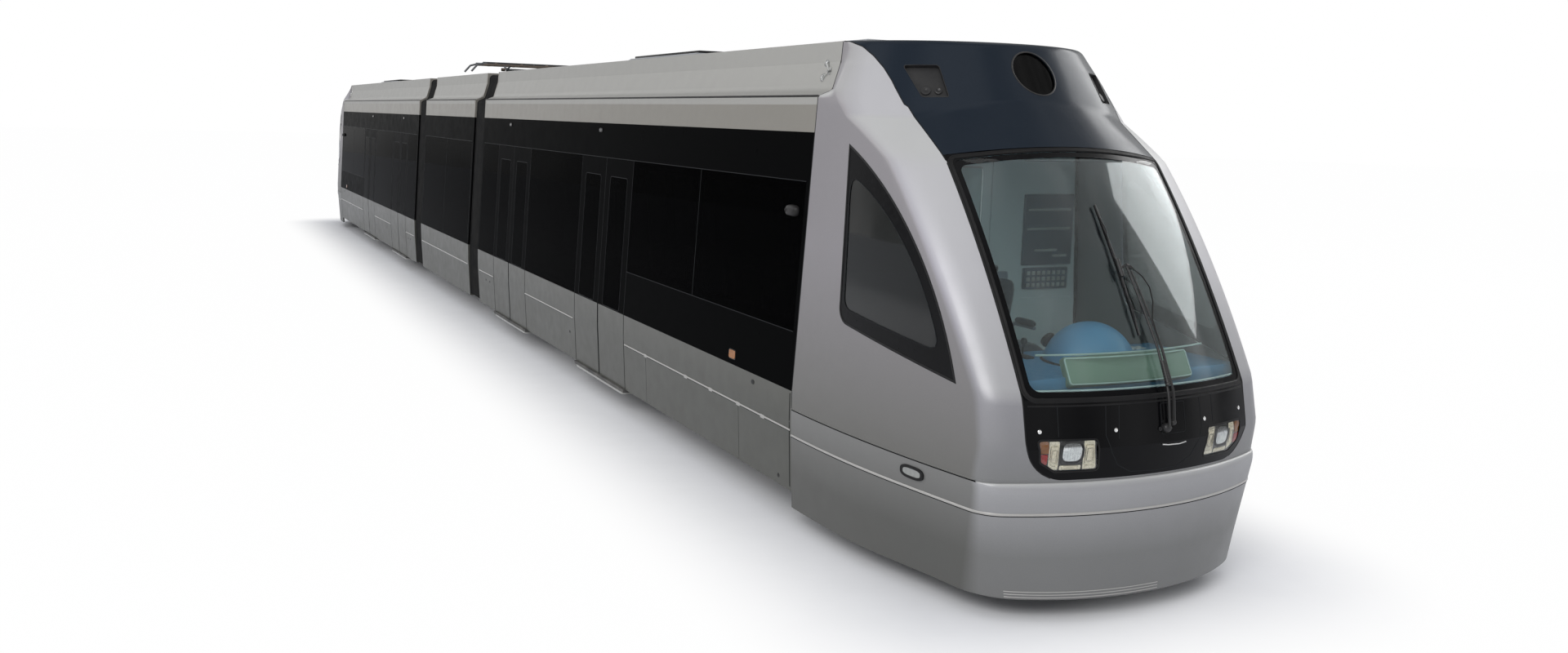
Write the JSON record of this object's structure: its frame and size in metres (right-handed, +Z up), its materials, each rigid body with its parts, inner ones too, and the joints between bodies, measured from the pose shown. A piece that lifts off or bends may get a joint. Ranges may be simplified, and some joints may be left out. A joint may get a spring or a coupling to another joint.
{
  "type": "articulated low-floor tram",
  "caption": "Double-ended low-floor articulated tram with hinged body sections, swivelling bogies and a folding roof pantograph.",
  "frame": {"origin": "midway along the car, on its centre line, at the height of the wheel flanges' lowest points", "axes": "+X along the car towards the front cab, +Y to its left, +Z up"},
  "size_m": [29.82, 2.65, 3.75],
  "materials": {
    "underframe_paint": "dark grey floor and underframe paint",
    "body_paint": "silver-grey metallic paint with the black glazed band",
    "roof_paint": "pale silver-grey roof paint",
    "tinted_glass": "dark tinted bonded glass",
    "cab_paint": "silver metallic cab paint",
    "brow_paint": "slate-grey gloss paint",
    "mask_black": "gloss black front panel",
    "screen_glass": "clear laminated glass",
    "lamp_lens": "lamp lens",
    "wiper_black": "satin black wiper",
    "desk_blue": "blue moulded desk",
    "seat_fabric": "dark woven seat cloth",
    "interior_white": "off-white interior panels",
    "passenger_seat": "dark blue seat moquette",
    "equipment_grey": "grey roof equipment covers",
    "bellows_rubber": "black folded bellows fabric",
    "bogie_paint": "dark grey bogie paint with brake dust",
    "wheel_steel": "forged wheel steel, bright treads",
    "pantograph_paint": "grey-painted steel arms",
    "pantograph_metal": "aluminium head and rod"
  },
  "bodies": {
    "centre_section": {"centre_sides": "body_paint", "centre_floor": "underframe_paint", "centre_roof": "roof_paint", "centre_windows": "tinted_glass", "centre_seats": "passenger_seat", "front_bellows": "bellows_rubber", "rear_bellows": "bellows_rubber", "centre_bogie_frame": "bogie_paint", "pantograph_base": "pantograph_paint"},
    "front_section": {"front_floor": "underframe_paint", "front_sides": "body_paint", "front_roof": "roof_paint", "front_windows": "tinted_glass", "front_doors": "body_paint", "front_cab_shell": "cab_paint", "front_brow": "brow_paint", "front_mask": "mask_black", "front_cab_glass": "screen_glass", "front_apron": "body_paint", "front_lamps": "lamp_lens", "front_wiper": "wiper_black", "front_cab_desk": "desk_blue", "front_driver_seat": "seat_fabric", "front_cab_partition": "interior_white", "front_seats": "passenger_seat", "front_roof_units": "equipment_grey"},
    "front_cab_door": {"front_cab_door": "interior_white"},
    "front_bogie": {"front_bogie_frame": "bogie_paint"},
    "front_outer_wheelset": {"front_outer_wheelset": "wheel_steel"},
    "front_inner_wheelset": {"front_inner_wheelset": "wheel_steel"},
    "rear_section": {"rear_floor": "underframe_paint", "rear_sides": "body_paint", "rear_roof": "roof_paint", "rear_windows": "tinted_glass", "rear_doors": "body_paint", "rear_cab_shell": "cab_paint", "rear_brow": "brow_paint", "rear_mask": "mask_black", "rear_cab_glass": "screen_glass", "rear_apron": "body_paint", "rear_lamps": "lamp_lens", "rear_wiper": "wiper_black", "rear_cab_desk": "desk_blue", "rear_driver_seat": "seat_fabric", "rear_cab_partition": "interior_white", "rear_seats": "passenger_seat", "rear_roof_units": "equipment_grey"},
    "rear_cab_door": {"rear_cab_door": "interior_white"},
    "rear_bogie": {"rear_bogie_frame": "bogie_paint"},
    "rear_outer_wheelset": {"rear_outer_wheelset": "wheel_steel"},
    "rear_inner_wheelset": {"rear_inner_wheelset": "wheel_steel"},
    "centre_wheel_front_left": {"centre_wheel_front_left": "wheel_steel"},
    "centre_wheel_front_right": {"centre_wheel_front_right": "wheel_steel"},
    "centre_wheel_rear_left": {"centre_wheel_rear_left": "wheel_steel"},
    "centre_wheel_rear_right": {"centre_wheel_rear_right": "wheel_steel"},
    "pantograph_lower_arm": {"pantograph_lower_arm": "pantograph_paint"},
    "pantograph_upper_arm": {"pantograph_upper_arm": "pantograph_paint"},
    "pantograph_head": {"pantograph_head": "pantograph_metal"},
    "pantograph_guide_rod": {"pantograph_guide_rod": "pantograph_metal"}
  },
  "joints": [
    {"name": "front_articulation", "type": "hinge", "parent": "centre_section", "child": "front_section", "pos_m": [2.175, 0, 0.2], "axis": [0, 0, 1], "range_deg": [-14, 14], "deforming": ["front_bellows"]},
    {"name": "front_bogie_swivel", "type": "hinge", "parent": "front_section", "child": "front_bogie", "pos_m": [10.3, 0, 0.8], "axis": [0, 0, 1], "range_deg": [-10, 10]},
    {"name": "front_outer_axle_spin", "type": "hinge", "parent": "front_bogie", "child": "front_outer_wheelset", "pos_m": [11.25, 0, 0.358], "axis": [0, 1, 0], "continuous": true},
    {"name": "front_inner_axle_spin", "type": "hinge", "parent": "front_bogie", "child": "front_inner_wheelset", "pos_m": [9.35, 0, 0.358], "axis": [0, 1, 0], "continuous": true},
    {"name": "front_cab_door_swing", "type": "hinge", "parent": "front_section", "child": "front_cab_door", "pos_m": [12.482, -0.29, 1.8], "axis": [0, 0, 1], "range_deg": [0, 90]},
    {"name": "rear_articulation", "type": "hinge", "parent": "centre_section", "child": "rear_section", "pos_m": [-2.175, 0, 0.2], "axis": [0, 0, 1], "range_deg": [-14, 14], "deforming": ["rear_bellows"]},
    {"name": "rear_bogie_swivel", "type": "hinge", "parent": "rear_section", "child": "rear_bogie", "pos_m": [-10.3, 0, 0.8], "axis": [0, 0, 1], "range_deg": [-10, 10]},
    {"name": "rear_outer_axle_spin", "type": "hinge", "parent": "rear_bogie", "child": "rear_outer_wheelset", "pos_m": [-11.25, 0, 0.358], "axis": [0, 1, 0], "continuous": true},
    {"name": "rear_inner_axle_spin", "type": "hinge", "parent": "rear_bogie", "child": "rear_inner_wheelset", "pos_m": [-9.35, 0, 0.358], "axis": [0, 1, 0], "continuous": true},
    {"name": "rear_cab_door_swing", "type": "hinge", "parent": "rear_section", "child": "rear_cab_door", "pos_m": [-12.482, -0.29, 1.8], "axis": [0, 0, -1], "range_deg": [0, 90]},
    {"name": "centre_wheel_front_left_spin", "type": "hinge", "parent": "centre_section", "child": "centre_wheel_front_left", "pos_m": [0.9, 0.75, 0.358], "axis": [0, 1, 0], "continuous": true},
    {"name": "centre_wheel_front_right_spin", "type": "hinge", "parent": "centre_section", "child": "centre_wheel_front_right", "pos_m": [0.9, -0.75, 0.358], "axis": [0, 1, 0], "continuous": true},
    {"name": "centre_wheel_rear_left_spin", "type": "hinge", "parent": "centre_section", "child": "centre_wheel_rear_left", "pos_m": [-0.9, 0.75, 0.358], "axis": [0, 1, 0], "continuous": true},
    {"name": "centre_wheel_rear_right_spin", "type": "hinge", "parent": "centre_section", "child": "centre_wheel_rear_right", "pos_m": [-0.9, -0.75, 0.358], "axis": [0, 1, 0], "continuous": true},
    {"name": "pantograph_raise", "type": "hinge", "parent": "centre_section", "child": "pantograph_lower_arm", "pos_m": [0.35, 0, 3.5], "axis": [0, 1, 0], "range_deg": [0, 59]},
    {"name": "pantograph_knee", "type": "hinge", "parent": "pantograph_lower_arm", "child": "pantograph_upper_arm", "pos_m": [-0.875, 0, 3.56], "axis": [0, 1, 0], "range_deg": [-112, 0]},
    {"name": "pantograph_head_level", "type": "hinge", "parent": "pantograph_upper_arm", "child": "pantograph_head", "pos_m": [0.45, 0, 3.65], "axis": [0, 1, 0], "range_deg": [0, 53]},
    {"name": "pantograph_rod", "type": "hinge", "parent": "centre_section", "child": "pantograph_guide_rod", "pos_m": [0.041, 0.13, 3.44], "axis": [0, 1, 0], "range_deg": [0, 66]}
  ],
  "couplings": [
    {"joint": "pantograph_knee", "follows": "pantograph_raise", "ratio": -1.89},
    {"joint": "pantograph_head_level", "follows": "pantograph_raise", "ratio": 0.89},
    {"joint": "pantograph_rod", "follows": "pantograph_raise", "ratio": 1.112}
  ]
}
